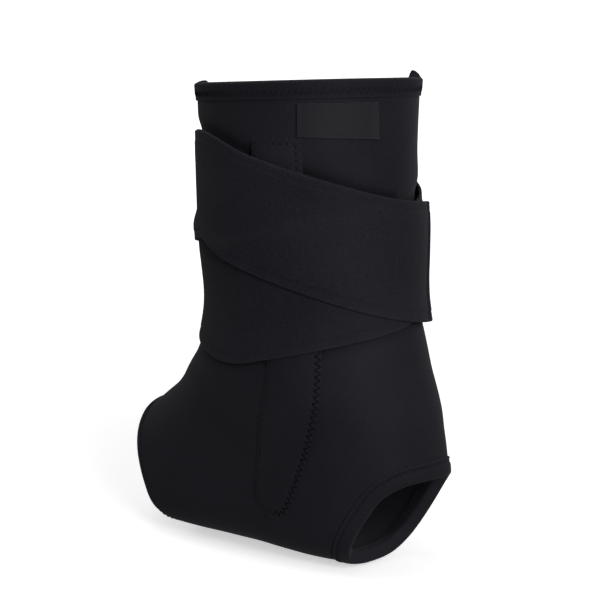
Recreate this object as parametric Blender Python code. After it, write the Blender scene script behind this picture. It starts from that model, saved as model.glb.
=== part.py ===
"""Ankle brace: a padded pull-on ankle sleeve with a bound leg opening and heel opening,
a stitched-on side pocket for a flat stay, a bare woven label, and one long elastic strap
wound twice round the ankle.

Metres, +Z up. The toes point to -Y, and the outer side of the foot is at +X. The origin
is the middle of the ankle, between the two ankle bones.
"""

import math

import bmesh
import bpy
from mathutils import Vector
from mathutils.bvhtree import BVHTree

# ---------------------------------------------------------------- driving dimensions
MM = 0.001
WALL = 4.0 * MM  # padded sleeve wall
GAP = 0.5 * MM  # between touching pieces, so that their flat facets stay apart
TAPE = 1.2 * MM  # folded binding tape
TOP_TAPE_WIDTH = 7.2 * MM
HEEL_TAPE_WIDTH = 6.8 * MM
STRAP_WIDTH = 49.5 * MM
STRAP_THICKNESS = 1.7 * MM
STRAP_GAP = 0.8 * MM  # under the strap, whose flat facets span the sleeve's own
STRAP_LAP_FLAT = 10.0 * MM  # the outer turn stays raised this far past the inner turn's edge
STRAP_LAP_FADE = 11.0 * MM  # and comes down to the sleeve over this length
STRAP_START = -95.0  # degrees round the leg, from the shin towards the outer side
STRAP_END = 576.0
STRAP_OVER_START = 236.0  # where the strap starts to climb over its own sewn end
STRAP_OVER_FULL = 252.0
STRAP_END_LIFT = 0.4 * MM  # the free end stands off a little
POCKET_THICKNESS = 1.3 * MM
LABEL_THICKNESS = 0.9 * MM
LABEL_WIDTH = 35.5 * MM
LABEL_DROPS = (14.2 * MM, 15.9 * MM)  # its length at the front and the back edge
LABEL_BELOW = 1.4 * MM  # bare sleeve between the top tape and the label
LABEL_ANGLE = 145.9  # degrees round the leg, the middle of the label

INNER_GAP = 0.8 * MM  # where a tape lies on the hollow side, whose facets stand inwards

AROUND = 40  # facets round the sleeve
FOLD_STEPS = (2, 2, 2, 3, 4, 4, 5, 4, 3)  # facets between each two rows of the sleeve table

# The sleeve's outer face, a row for each section, from the leg opening to the foot
# opening. Each section is a plane that holds the X direction and the line from its front
# point (on the shin or the instep) to its back point (on the calf, the heel or the sole).
# wide is where the section is widest, as a share of the way from front to back, and the
# two roundness columns are the powers of its front and back curves (2 is an ellipse).
# tilt is how much higher than the middle line its outer side stands.
#  section        front y  front z  back y  back z  half width  wide  round f  round b  tilt
SLEEVE = (
    ("leg opening", -58.9, 127.7, 44.4, 134.7, 46.0, 0.49, 2.12, 2.10, 1.9),
    ("calf", -58.4, 94.9, 44.2, 99.0, 45.4, 0.49, 2.08, 2.04, 0.0),
    ("low calf", -56.8, 58.9, 45.4, 65.0, 44.4, 0.48, 2.14, 2.10, 0.0),
    ("above ankle", -55.6, 29.8, 47.4, 34.4, 42.0, 0.48, 2.08, 2.04, 0.0),
    ("ankle", -61.4, 7.6, 54.0, 5.8, 41.9, 0.48, 2.20, 2.18, 0.0),
    ("ankle fold", -72.6, -6.8, 62.8, -20.1, 40.6, 0.48, 2.22, 2.28, 0.0),
    ("heel", -82.2, -15.8, 65.8, -55.4, 37.1, 0.48, 2.20, 2.28, 0.0),
    ("sole back", -89.6, -22.0, 37.3, -82.9, 35.9, 0.50, 2.30, 2.58, 0.0),
    ("arch", -94.8, -26.2, -18.8, -84.6, 35.7, 0.55, 2.30, 2.61, 0.0),
    ("foot opening", -97.8, -27.4, -72.7, -84.0, 34.6, 0.66, 2.34, 2.71, 0.0),
)

# The heel opening's edge as seen from the side, from behind the heel down to the sole.
#  point           y      z
HEEL_EDGE = (
    ("past the heel", 84.0, -41.2),
    ("back of heel", 67.7, -41.6),
    ("upper", 61.8, -43.9),
    ("upper bend", 55.6, -49.2),
    ("middle", 49.2, -58.2),
    ("lower bend", 43.3, -67.0),
    ("lower", 37.4, -76.6),
    ("sole", 34.4, -83.4),
    ("past the sole", 34.0, -98.0),
)

# The strap's centre line: degrees round the leg (0 shin, 90 outer side, 180 behind,
# counting on through the second turn) and the height of its middle.
#  place               angle  height
STRAP_ROUTE = (
    ("sewn end", -95.0, 60.0),
    ("inner side", -55.0, 57.0),
    ("over the shin", -10.0, 49.0),
    ("front fold", 32.0, 38.5),
    ("lowest", 68.0, 30.8),
    ("outer side", 100.0, 34.8),
    ("behind outer side", 140.0, 42.6),
    ("behind the heel cord", 180.0, 50.0),
    ("inner back", 222.0, 58.0),
    ("inner side again", 275.0, 67.0),
    ("inner front", 325.0, 73.0),
    ("shin again", 365.0, 77.5),
    ("outer front", 398.0, 82.4),
    ("highest", 420.0, 85.2),
    ("outer side again", 450.0, 77.6),
    ("outer back", 489.0, 68.0),
    ("back", 533.0, 56.2),
    ("free end", 576.0, 49.5),
)

# The side pocket's outline, flat as seen from the outer side.
#  row            height  middle y  half width
POCKET = (
    ("top", 109.0, 11.0, 11.0),
    ("upper", 80.0, 12.0, 11.4),
    ("middle", 45.0, 15.2, 12.0),
    ("under the strap", 14.0, 18.0, 12.6),
    ("ankle bone", 2.0, 17.8, 13.5),
    ("below it", -8.0, 16.3, 14.5),
    ("low", -20.0, 13.6, 14.9),
    ("lower", -32.0, 10.2, 14.2),
    ("turn", -43.0, 6.6, 12.9),
    ("tip", -52.0, 4.0, 11.2),
    ("end bend", -59.5, 3.4, 7.9),
    ("end", -64.0, 3.2, 3.4),
)


# ---------------------------------------------------------------- curves and surfaces
def smooth_rows(rows, per_span):
    """The rows of numbers, with more between each two on one smooth curve.

    per_span is the number of steps from one row to the next, or a list of them.
    """
    last = len(rows) - 1
    steps = [per_span] * last if isinstance(per_span, int) else list(per_span)
    ends = [
        [2 * a - b for a, b in zip(rows[0], rows[1])],
        [2 * a - b for a, b in zip(rows[last], rows[last - 1])],
    ]
    known = [ends[0], *rows, ends[1]]
    out = []
    for i in range(last):
        p0, p1, p2, p3 = known[i : i + 4]
        for k in range(steps[i]):
            t = k / steps[i]
            out.append(
                [
                    0.5
                    * (
                        2 * b
                        + (c - a) * t
                        + (2 * a - 5 * b + 4 * c - d) * t * t
                        + (3 * b - a - 3 * c + d) * t**3
                    )
                    for a, b, c, d in zip(p0, p1, p2, p3)
                ]
            )
    out.append(list(rows[last]))
    return out


def eased(x, low, high):
    """0 below low, 1 above high, and a smooth step between them."""
    t = min(1.0, max(0.0, (x - low) / (high - low)))
    return t * t * (3 - 2 * t)


def section_point(row, angle):
    """A point of the sleeve's outer face on one section: angle 0 front, 90 outer side."""
    front_y, front_z, back_y, back_z, half, wide, round_f, round_b, tilt = row
    s, c = math.sin(angle), math.cos(angle)
    power = 2 / (round_f if c >= 0 else round_b)
    mid_y = front_y + (back_y - front_y) * wide
    mid_z = front_z + (back_z - front_z) * wide
    far_y, far_z = (front_y, front_z) if c >= 0 else (back_y, back_z)
    reach = abs(c) ** power
    aside = math.copysign(abs(s) ** power, s)
    return (
        Vector(
            (
                half * aside,
                mid_y + (far_y - mid_y) * reach,
                mid_z + (far_z - mid_z) * reach + tilt * aside,
            )
        )
        * MM
    )


def skin_grid(per_span, around):
    """Rows of points over the sleeve's outer face, and the outward direction at each."""
    rows = smooth_rows([list(r[1:]) for r in SLEEVE], per_span)
    grid = [
        [section_point(r, 2 * math.pi * k / around) for k in range(around)]
        for r in rows
    ]
    normals = []
    for i, ring in enumerate(grid):
        above, below = grid[max(i - 1, 0)], grid[min(i + 1, len(grid) - 1)]
        normals.append(
            [
                (ring[(k + 1) % around] - ring[k - 1])
                .cross(above[k] - below[k])
                .normalized()
                for k in range(around)
            ]
        )
    return grid, normals


def offset_grid(grid, normals, out):
    return [[p + n * out for p, n in zip(r, m)] for r, m in zip(grid, normals)]


def grid_tree(grid):
    """A search tree over a grid that is closed round its rows."""
    around = len(grid[0])
    points = [p for ring in grid for p in ring]
    faces = [
        (
            i * around + k,
            (i + 1) * around + k,
            (i + 1) * around + (k + 1) % around,
            i * around + (k + 1) % around,
        )
        for i in range(len(grid) - 1)
        for k in range(around)
    ]
    return BVHTree.FromPolygons(points, faces)


FINE_GRID, FINE_NORMALS = skin_grid(10, 160)
OUTER_TREE = grid_tree(FINE_GRID)
INNER_TREE = grid_tree(offset_grid(FINE_GRID, FINE_NORMALS, -WALL))


def leg_point(angle, height):
    """The outer face at an angle round the leg and a height, with its outward direction.

    Between z = 0 and the leg opening the sleeve is a plain tube, so a level ray from its
    middle meets it once.
    """
    a = math.radians(angle)
    start = Vector((0, -6.5 * MM, height))
    hit, normal, _, _ = OUTER_TREE.ray_cast(
        start, Vector((math.sin(a), -math.cos(a), 0))
    )
    if normal.dot(hit - start) < 0:
        normal = -normal
    return hit, normal


def on_face(tree, point, axis_like):
    """The nearest point on a face of the wall, with its direction turned along axis_like."""
    hit, normal, _, _ = tree.find_nearest(point)
    if normal.dot(axis_like) < 0:
        normal = -normal
    return hit, normal


# ---------------------------------------------------------------- making objects
def material(name, colour, roughness):
    mat = bpy.data.materials.new(name)
    mat.use_nodes = True
    shader = mat.node_tree.nodes["Principled BSDF"]
    shader.inputs["Base Color"].default_value = (*colour, 1.0)
    shader.inputs["Roughness"].default_value = roughness
    shader.inputs["Metallic"].default_value = 0.0
    return mat


def add_object(name, points, faces, mat):
    mesh = bpy.data.meshes.new(name)
    mesh.from_pydata([tuple(p) for p in points], [], faces)
    bm = bmesh.new()
    bm.from_mesh(mesh)
    bmesh.ops.recalc_face_normals(bm, faces=bm.faces)
    bm.to_mesh(mesh)
    bm.free()
    mesh.materials.append(mat)
    mesh.shade_smooth()
    mesh.set_sharp_from_angle(angle=math.radians(50))
    obj = bpy.data.objects.new(name, mesh)
    bpy.context.scene.collection.objects.link(obj)
    return obj


def closed_tube(name, outer, inner, mat):
    """A wall between two grids that are both closed round their rows."""
    rows, around = len(outer), len(outer[0])
    points = [p for ring in outer + inner for p in ring]
    shift = rows * around
    faces = []
    for i in range(rows - 1):
        for k in range(around):
            a, b = i * around + k, i * around + (k + 1) % around
            c, d = b + around, a + around
            faces.append((a, b, c, d))
            faces.append((a + shift, d + shift, c + shift, b + shift))
    for i in (0, rows - 1):
        for k in range(around):
            a, b = i * around + k, i * around + (k + 1) % around
            faces.append(
                (a, a + shift, b + shift, b) if i == 0 else (a, b, b + shift, a + shift)
            )
    return add_object(name, points, faces, mat)


def closed_sheet(name, top, bottom, mat):
    """A sheet with four edges: a grid of points on each face, joined round the edges."""
    rows, cols = len(top), len(top[0])
    points = [p for line in top + bottom for p in line]
    shift = rows * cols
    faces = []
    for i in range(rows - 1):
        for k in range(cols - 1):
            a, b = i * cols + k, i * cols + k + 1
            c, d = b + cols, a + cols
            faces.append((a, b, c, d))
            faces.append((a + shift, d + shift, c + shift, b + shift))
    edge = [k for k in range(cols)]
    edge += [i * cols + cols - 1 for i in range(1, rows)]
    edge += [(rows - 1) * cols + k for k in range(cols - 2, -1, -1)]
    edge += [i * cols for i in range(rows - 2, 0, -1)]
    for a, b in zip(edge, edge[1:] + edge[:1]):
        faces.append((b, a, a + shift, b + shift))
    return add_object(name, points, faces, mat)


def closed_ring(name, profiles, mat):
    """A closed loop of closed profiles, joined one to the next."""
    count, size = len(profiles), len(profiles[0])
    points = [p for profile in profiles for p in profile]
    faces = []
    for i in range(count):
        for k in range(size):
            a, b = i * size + k, i * size + (k + 1) % size
            c, d = ((i + 1) % count) * size + (k + 1) % size, (
                (i + 1) % count
            ) * size + k
            faces.append((a, b, c, d))
    return add_object(name, points, faces, mat)


# ---------------------------------------------------------------- the folded tapes
def folded_tape(name, edge, away, outward, width, shares, mat):
    """Tape folded over a raw edge of the wall.

    edge holds points on the outer face along the raw edge, away the directions in the
    wall that lead away from the opening, and outward the wall's outward directions. The
    shares of the width are where the tape's legs bend to follow the wall.
    """
    profiles = []
    for point, side, out in zip(edge, away, outward):
        inner = point - out * WALL
        top = point - side * (1.4 * GAP + TAPE)
        legs = []
        for tree, base, facing in (
            (OUTER_TREE, point, out),
            (INNER_TREE, inner, -out),
        ):
            legs.append(
                [on_face(tree, base + side * width * share, facing) for share in shares]
            )
        far = [h + n * (GAP + TAPE) for h, n in legs[0]]
        far += [
            point + out * (GAP + TAPE),
            top + out * 0.2 * MM,
            top - out * (WALL + 0.5 * MM),
            inner - out * (INNER_GAP + TAPE),
        ]
        far += [h + n * (INNER_GAP + TAPE) for h, n in reversed(legs[1])]
        near = [h + n * INNER_GAP for h, n in legs[1]]
        near += [
            inner - out * INNER_GAP - side * 1.4 * GAP,
            point + out * GAP - side * 1.4 * GAP,
        ]
        near += [h + n * GAP for h, n in reversed(legs[0])]
        profiles.append(far + near)
    return closed_ring(name, profiles, mat)


def leg_opening_edge(count):
    """The sleeve's raw edge at the leg opening."""
    row = list(SLEEVE[0][1:])
    edge, away, outward = [], [], []
    for k in range(count):
        a = 2 * math.pi * k / count
        p = section_point(row, a)
        hit, out = on_face(OUTER_TREE, p, Vector((p.x, p.y + 6.5 * MM, 0)))
        side = Vector((0, 0, -1))
        side = (side - out * side.dot(out)).normalized()
        edge.append(p + side * (GAP + TAPE))
        away.append(side)
        outward.append(out)
    return edge, away, outward


def heel_outline(grow):
    """The side view of the heel opening, made larger all round by grow."""
    line = smooth_rows([list(r[1:]) for r in HEEL_EDGE], 6)
    out = []
    for i, (y, z) in enumerate(line):
        a, b = line[max(i - 1, 0)], line[min(i + 1, len(line) - 1)]
        t = Vector((b[0] - a[0], b[1] - a[1])).normalized()
        out.append((y * MM + t.y * grow, z * MM - t.x * grow))
    return [(y, z) for y, z in out]


def heel_opening_edge(count):
    """The loop where the outer face crosses the heel opening's outline."""
    line = [Vector((0, y, z)) for y, z in heel_outline(GAP + TAPE)]
    half = []
    for i, p in enumerate(line):
        hit, normal, _, _ = OUTER_TREE.ray_cast(
            Vector((0.1, p.y, p.z)), Vector((-1, 0, 0))
        )
        if hit is not None and hit.x > 4 * MM:
            half.append(hit)
    # The two ends lie on the middle line of the heel and of the sole.
    top = OUTER_TREE.ray_cast(
        Vector((0, 0.12, half[0].z)), Vector((0, -1, 0))
    )[0]
    low = OUTER_TREE.ray_cast(
        Vector((0, half[-1].y, -0.12)), Vector((0, 0, 1))
    )[0]
    half = [top, *half, low]
    loop = half + [Vector((-p.x, p.y, p.z)) for p in reversed(half[1:-1])]
    # Even steps along the loop, on the face.
    lengths = [0.0]
    for a, b in zip(loop, loop[1:] + loop[:1]):
        lengths.append(lengths[-1] + (b - a).length)
    points = []
    for k in range(count):
        want, i = lengths[-1] * (k + 0.5) / count, 0
        while lengths[i + 1] < want:
            i += 1
        share = (want - lengths[i]) / (lengths[i + 1] - lengths[i])
        points.append(loop[i].lerp(loop[(i + 1) % len(loop)], share))
    for _ in range(2):
        points = [
            (points[k - 1] + points[k] * 2 + points[(k + 1) % count]) / 4
            for k in range(count)
        ]
    edge, away, outward = [], [], []
    inside = Vector((0, 0.075, -0.085))  # a point out in the opening
    for k, p in enumerate(points):
        centre = Vector((0, 0.03, -0.055))
        hit, out = on_face(OUTER_TREE, p, p - centre)
        t = (points[(k + 1) % count] - points[k - 1]).normalized()
        side = out.cross(t).normalized()
        if side.dot(p - inside) < 0:
            side = -side
        edge.append(hit)
        away.append(side)
        outward.append(out)
    return edge, away, outward


def opening_cutter(name, edge, away, outward, mat):
    """A solid that fills the opening, with its sides square to the wall all round.

    Its two ends are cones: one to a point behind and below the heel, one to a point in
    the hollow of the sleeve.
    """
    count = len(edge)
    reach = 2.2 * WALL
    points = [p + n * reach for p, n in zip(edge, outward)]
    points += [p - n * reach for p, n in zip(edge, outward)]
    points += [Vector((0, 0.140, -0.140)), Vector((0, 0.015, -0.040))]
    faces = []
    for k in range(count):
        a, b = k, (k + 1) % count
        faces.append((a, b, b + count, a + count))
        faces.append((b, a, 2 * count))
        faces.append((a + count, b + count, 2 * count + 1))
    return add_object(name, points, faces, mat)


# ---------------------------------------------------------------- the strap and the pocket
ROUTE = smooth_rows([list(r[1:]) for r in STRAP_ROUTE], 12)


def route_height(angle):
    """The height of the strap's middle at an angle, and its slope there per degree."""
    for (a0, z0), (a1, z1) in zip(ROUTE, ROUTE[1:]):
        if angle <= a1:
            break
    return (z0 + (z1 - z0) * (angle - a0) / (a1 - a0)) * MM, (z1 - z0) / (a1 - a0) * MM


def strap_width(angle):
    """The strap is narrower where it is pulled tight, and wider at its slack free end."""
    tight = math.exp(-(((angle - 418.0) / 22.0) ** 2))
    return STRAP_WIDTH * (1 - 0.025 * tight + 0.105 * eased(angle, 492.0, 572.0))


def pocket_rise(angle, height):
    """How far the side pocket lifts what lies over it."""
    a = angle % 360
    across = eased(a, 68.0, 85.0) * (1 - eased(a, 137.0, 154.0))
    return (POCKET_THICKNESS + GAP + 0.1 * MM) * across * (1 - eased(height, 112 * MM, 122 * MM))


def strap_rise(turn_angle, height):
    """The height of the strap's underside over the sleeve's outer face."""
    rise = STRAP_GAP + pocket_rise(turn_angle, height)
    if turn_angle > STRAP_OVER_START:
        under, _ = route_height(max(turn_angle - 360, STRAP_START))
        top = under + STRAP_WIDTH / 2 * 1.04
        over = 1 - eased(
            height, top + STRAP_LAP_FLAT, top + STRAP_LAP_FLAT + STRAP_LAP_FADE
        )
        start = eased(turn_angle, STRAP_OVER_START, STRAP_OVER_FULL)
        rise += (STRAP_THICKNESS + GAP) * over * start
    rise += STRAP_END_LIFT * eased(turn_angle, STRAP_END - 22, STRAP_END)
    return rise


def strap_grid(stations, across):
    """Two grids, the strap's outer and inner face, a row for each station."""
    top, bottom = [], []
    for i in range(stations):
        angle = STRAP_START + (STRAP_END - STRAP_START) * i / (stations - 1)
        middle, slope = route_height(angle)
        middle -= 1.0 * MM * eased(angle, 492.0, 572.0)
        here, _ = leg_point(angle, middle)
        radius = math.hypot(here.x, here.y + 6.5 * MM)
        lean = math.atan2(slope, math.radians(1) * radius)
        line_top, line_bottom = [], []
        for k in range(across):
            v = strap_width(angle) * (k / (across - 1) - 0.5)
            h = middle + v * math.cos(lean)
            a = angle - math.degrees(v * math.sin(lean) / radius)
            p, n = leg_point(a, h)
            rise = strap_rise(a, h)
            line_bottom.append(p + n * rise)
            line_top.append(p + n * (rise + STRAP_THICKNESS))
        top.append(line_top)
        bottom.append(line_bottom)
    return top, bottom


def pocket_grid(rows_per_span, across):
    top, bottom = [], []
    for height, middle, half in smooth_rows(
        [list(r[1:]) for r in POCKET], rows_per_span
    ):
        line_top, line_bottom = [], []
        for k in range(across):
            y = (middle + half * (2 * k / (across - 1) - 1)) * MM
            p, n, _, _ = OUTER_TREE.ray_cast(
                Vector((0.1, y, height * MM)), Vector((-1, 0, 0))
            )
            if n.x < 0:
                n = -n
            line_bottom.append(p + n * GAP)
            line_top.append(p + n * (GAP + POCKET_THICKNESS))
        top.append(line_top)
        bottom.append(line_bottom)
    return top, bottom


def label_grid(rows, cols):
    top, bottom = [], []
    rim, _ = leg_point(LABEL_ANGLE, 0.12)
    radius = math.hypot(rim.x, rim.y + 6.5 * MM)
    for i in range(rows):
        line_top, line_bottom = [], []
        for k in range(cols):
            a = LABEL_ANGLE + math.degrees(
                LABEL_WIDTH * (k / (cols - 1) - 0.5) / radius
            )
            edge = label_top(a)
            drop = LABEL_DROPS[0] + (LABEL_DROPS[1] - LABEL_DROPS[0]) * k / (cols - 1)
            p, n = leg_point(a, edge - drop * i / (rows - 1))
            lift = GAP + 0.5 * MM * (i / (rows - 1)) ** 2
            line_bottom.append(p + n * lift)
            line_top.append(p + n * (lift + LABEL_THICKNESS))
        top.append(line_top)
        bottom.append(line_bottom)
    return top, bottom


def label_top(angle):
    """The height of the label's upper edge, a little below the top tape."""
    row = SLEEVE[0]
    p = section_point(list(row[1:]), math.radians(angle))
    return p.z - TOP_TAPE_WIDTH - TAPE - 2 * GAP - LABEL_BELOW


# ---------------------------------------------------------------- the brace
def build():
    for obj in list(bpy.data.objects):
        bpy.data.objects.remove(obj, do_unlink=True)

    neoprene = material("sleeve_black", (0.012, 0.011, 0.014), 0.62)
    tape = material("tape_black", (0.008, 0.008, 0.010), 0.75)
    heel_tape = material("heel_tape_black", (0.009, 0.008, 0.011), 0.72)
    strap_cloth = material("strap_black", (0.014, 0.013, 0.017), 0.70)
    patch = material("pocket_black", (0.015, 0.014, 0.018), 0.60)
    woven = material("label_black", (0.019, 0.018, 0.023), 0.50)

    # The sleeve starts below the fold of the tape on its raw edge.
    grid, normals = skin_grid(FOLD_STEPS, AROUND)
    drop = Vector((0, 0, GAP + TAPE))
    grid[0] = [p - drop for p in grid[0]]
    sleeve = closed_tube(
        "sleeve", grid, offset_grid(grid, normals, -WALL), neoprene
    )

    heel_edge = heel_opening_edge(48)
    cutter = opening_cutter("heel_opening_cutter", *heel_edge, neoprene)
    cutter.hide_render = True
    cutter.display_type = "WIRE"
    cut = sleeve.modifiers.new("heel opening", "BOOLEAN")
    cut.operation = "DIFFERENCE"
    cut.solver = "EXACT"
    cut.object = cutter

    folded_tape("top_binding", *leg_opening_edge(44), TOP_TAPE_WIDTH, (1,), tape)
    folded_tape(
        "heel_binding", *heel_edge, HEEL_TAPE_WIDTH, (1, 0.5), heel_tape
    )
    closed_sheet("wrap_strap", *strap_grid(82, 6), strap_cloth)
    closed_sheet("stay_pocket", *pocket_grid(2, 5), patch)
    closed_sheet("label", *label_grid(3, 7), woven)


build()
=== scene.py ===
"""Ankle brace, the visible model: a jersey-faced neoprene sleeve with bound openings, a
zigzag-stitched side pocket, a bare woven label and a brushed elastic strap wound twice.

Every piece is built from the same tables as the fixed frame, in metres, +Z up, toes to -Y.
"""

import math

import bmesh
import bpy
import numpy as np
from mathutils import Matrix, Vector, noise
from mathutils.bvhtree import BVHTree


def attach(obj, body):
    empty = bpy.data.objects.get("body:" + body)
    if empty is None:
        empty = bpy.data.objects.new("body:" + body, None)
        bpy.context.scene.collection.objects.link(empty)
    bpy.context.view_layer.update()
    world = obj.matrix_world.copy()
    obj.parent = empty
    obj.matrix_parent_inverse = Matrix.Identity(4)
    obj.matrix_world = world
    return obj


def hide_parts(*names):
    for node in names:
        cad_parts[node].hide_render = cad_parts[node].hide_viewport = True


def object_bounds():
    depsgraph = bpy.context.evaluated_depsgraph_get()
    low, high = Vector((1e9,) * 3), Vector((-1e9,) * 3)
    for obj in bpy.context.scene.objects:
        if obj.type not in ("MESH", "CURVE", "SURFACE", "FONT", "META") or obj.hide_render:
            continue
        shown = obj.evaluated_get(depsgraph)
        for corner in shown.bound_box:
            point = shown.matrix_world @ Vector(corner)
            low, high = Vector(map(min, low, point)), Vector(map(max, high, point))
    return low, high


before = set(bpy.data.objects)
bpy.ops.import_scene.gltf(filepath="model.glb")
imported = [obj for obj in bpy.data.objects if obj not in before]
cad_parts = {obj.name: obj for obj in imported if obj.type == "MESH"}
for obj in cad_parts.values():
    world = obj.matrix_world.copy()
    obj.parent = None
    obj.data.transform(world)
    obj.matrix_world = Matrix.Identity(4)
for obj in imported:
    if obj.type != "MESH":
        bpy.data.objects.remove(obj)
CAD_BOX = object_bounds()

# ---------------------------------------------------------------- sizes
MM = 0.001
WALL = 4.0 * MM
GAP = 0.22 * MM  # between touching pieces
TAPE = 1.15 * MM
EDGE_DROP = 1.7 * MM  # how far below the leg opening's table row the raw edge lies
TOP_TAPE_WIDTH = 7.2 * MM
HEEL_TAPE_WIDTH = 6.8 * MM
STRAP_WIDTH = 49.5 * MM
STRAP_THICKNESS = 1.65 * MM
STRAP_BORDER = 4.0 * MM  # the plain woven border along both edges
STRAP_START = -95.0
STRAP_END = 576.0
STRAP_OVER_START = 236.0
STRAP_OVER_FULL = 252.0
HEM_LENGTH = 11.0 * MM  # the folded hem at the free end
POCKET_INSET = 1.55 * MM  # how far in its zigzag runs
LABEL_THICKNESS = 0.7 * MM
LABEL_WIDTH = 35.5 * MM
LABEL_DROPS = (14.2 * MM, 15.9 * MM)
LABEL_ANGLE = 145.9
LABEL_BELOW = 3.6 * MM  # bare sleeve and tape edge between the tape's width and the label
LEG_AXIS_Y = -6.5 * MM  # the line in the leg that angles round the leg are counted from

# The sleeve's outer face, a row for each section (millimetres).
# tilt is how much higher than the middle line its outer side stands.
#  section        front y  front z  back y  back z  half width  wide  round f  round b  tilt
SLEEVE = (
    ("leg opening", -58.9, 127.7, 44.4, 134.7, 46.0, 0.49, 2.12, 2.10, 1.9),
    ("calf", -58.4, 94.9, 44.2, 99.0, 45.4, 0.49, 2.08, 2.04, 0.0),
    ("low calf", -56.8, 58.9, 45.4, 65.0, 44.4, 0.48, 2.14, 2.10, 0.0),
    ("above ankle", -55.6, 29.8, 47.4, 34.4, 42.0, 0.48, 2.08, 2.04, 0.0),
    ("ankle", -61.4, 7.6, 54.0, 5.8, 41.9, 0.48, 2.20, 2.18, 0.0),
    ("ankle fold", -72.6, -6.8, 62.8, -20.1, 40.6, 0.48, 2.22, 2.28, 0.0),
    ("heel", -82.2, -15.8, 65.8, -55.4, 37.1, 0.48, 2.20, 2.28, 0.0),
    ("sole back", -89.6, -22.0, 37.3, -82.9, 35.9, 0.50, 2.30, 2.58, 0.0),
    ("arch", -94.8, -26.2, -18.8, -84.6, 35.7, 0.55, 2.30, 2.61, 0.0),
    ("foot opening", -97.8, -27.4, -72.7, -84.0, 34.6, 0.66, 2.34, 2.71, 0.0),
)
SLEEVE_STEPS = (16, 17, 15, 14, 13, 15, 17, 20, 18)  # rows between each two sections
SLEEVE_AROUND = 256

# The heel opening's edge as seen from the side.
#  point           y      z
HEEL_EDGE = (
    ("past the heel", 84.0, -41.2),
    ("back of heel", 67.7, -41.6),
    ("upper", 61.8, -43.9),
    ("upper bend", 55.6, -49.2),
    ("middle", 49.2, -58.2),
    ("lower bend", 43.3, -67.0),
    ("lower", 37.4, -76.6),
    ("sole", 34.4, -83.4),
    ("past the sole", 34.0, -98.0),
)

# The strap's centre line: degrees round the leg, and the height of its middle.
#  place               angle  height
STRAP_ROUTE = (
    ("sewn end", -95.0, 60.0),
    ("inner side", -55.0, 57.0),
    ("over the shin", -10.0, 49.0),
    ("front fold", 32.0, 38.5),
    ("lowest", 68.0, 30.8),
    ("outer side", 100.0, 34.8),
    ("behind outer side", 140.0, 42.6),
    ("behind the heel cord", 180.0, 50.0),
    ("inner back", 222.0, 58.0),
    ("inner side again", 275.0, 67.0),
    ("inner front", 325.0, 73.0),
    ("shin again", 365.0, 77.5),
    ("outer front", 398.0, 82.4),
    ("highest", 420.0, 85.2),
    ("outer side again", 450.0, 77.6),
    ("outer back", 489.0, 68.0),
    ("back", 533.0, 56.2),
    ("free end", 576.0, 49.5),
)

# The side pocket's outline, flat as seen from the outer side.
#  row            height  middle y  half width
POCKET = (
    ("top", 109.0, 11.0, 11.0),
    ("upper", 80.0, 12.0, 11.4),
    ("middle", 45.0, 15.2, 12.0),
    ("under the strap", 14.0, 18.0, 12.6),
    ("ankle bone", 2.0, 17.8, 13.5),
    ("below it", -8.0, 16.3, 14.5),
    ("low", -20.0, 13.6, 14.9),
    ("lower", -32.0, 10.2, 14.2),
    ("turn", -43.0, 6.6, 12.9),
    ("tip", -52.0, 4.0, 11.2),
    ("end bend", -59.5, 3.4, 7.9),
    ("end", -64.0, 3.2, 3.4),
)

# Where the camera stands, worked out from the view.
VIEW_AZIMUTH, VIEW_ELEVATION = 131.875, 10.3015
VIEW_TARGET = Vector((0.0141, 0.0, 0.0321))
VIEW_DISTANCE = 0.9675
VIEW_LENS = 128.23


# ---------------------------------------------------------------- curves and surfaces
def smooth_rows(rows, per_span):
    """The rows of numbers, with more between each two on one smooth curve."""
    rows = np.asarray([r[1:] for r in rows], float)
    last = len(rows) - 1
    steps = [per_span] * last if isinstance(per_span, int) else list(per_span)
    known = np.vstack([2 * rows[0] - rows[1], rows, 2 * rows[last] - rows[last - 1]])
    out = []
    for i in range(last):
        p0, p1, p2, p3 = known[i : i + 4]
        for k in range(steps[i]):
            t = k / steps[i]
            out.append(
                0.5
                * (
                    2 * p1
                    + (p2 - p0) * t
                    + (2 * p0 - 5 * p1 + 4 * p2 - p3) * t * t
                    + (3 * p1 - p0 - 3 * p2 + p3) * t**3
                )
            )
    out.append(rows[last])
    return np.array(out)


def eased(x, low, high):
    t = np.clip((x - low) / (high - low), 0.0, 1.0)
    return t * t * (3 - 2 * t)


def bell(x, middle, width):
    return np.exp(-(((x - middle) / width) ** 2))


def unit(v):
    return v / np.maximum(np.linalg.norm(v, axis=-1, keepdims=True), 1e-12)


def section_points(rows, angles):
    """Points of the outer face on each section, at each angle (0 front, 90 outer side)."""
    fy, fz, by, bz, half, wide, rf, rb, tilt = (rows[:, j][:, None] for j in range(9))
    s, c = np.sin(angles)[None, :], np.cos(angles)[None, :]
    power = 2 / np.where(c >= 0, rf, rb)
    mid_y, mid_z = fy + (by - fy) * wide, fz + (bz - fz) * wide
    far_y, far_z = np.where(c >= 0, fy, by), np.where(c >= 0, fz, bz)
    reach = np.abs(c) ** power
    aside = np.sign(s) * np.abs(s) ** power
    return (
        np.stack(
            [
                half * aside,
                mid_y + (far_y - mid_y) * reach,
                mid_z + (far_z - mid_z) * reach + tilt * aside,
            ],
            -1,
        )
        * MM
    )


def skin_grid(per_span, around):
    rows = smooth_rows(SLEEVE, per_span)
    grid = section_points(rows, 2 * math.pi * np.arange(around) / around)
    across = np.roll(grid, -1, 1) - np.roll(grid, 1, 1)
    above = np.concatenate([grid[:1], grid[:-1]])
    below = np.concatenate([grid[1:], grid[-1:]])
    return grid, unit(np.cross(across, above - below))


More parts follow.
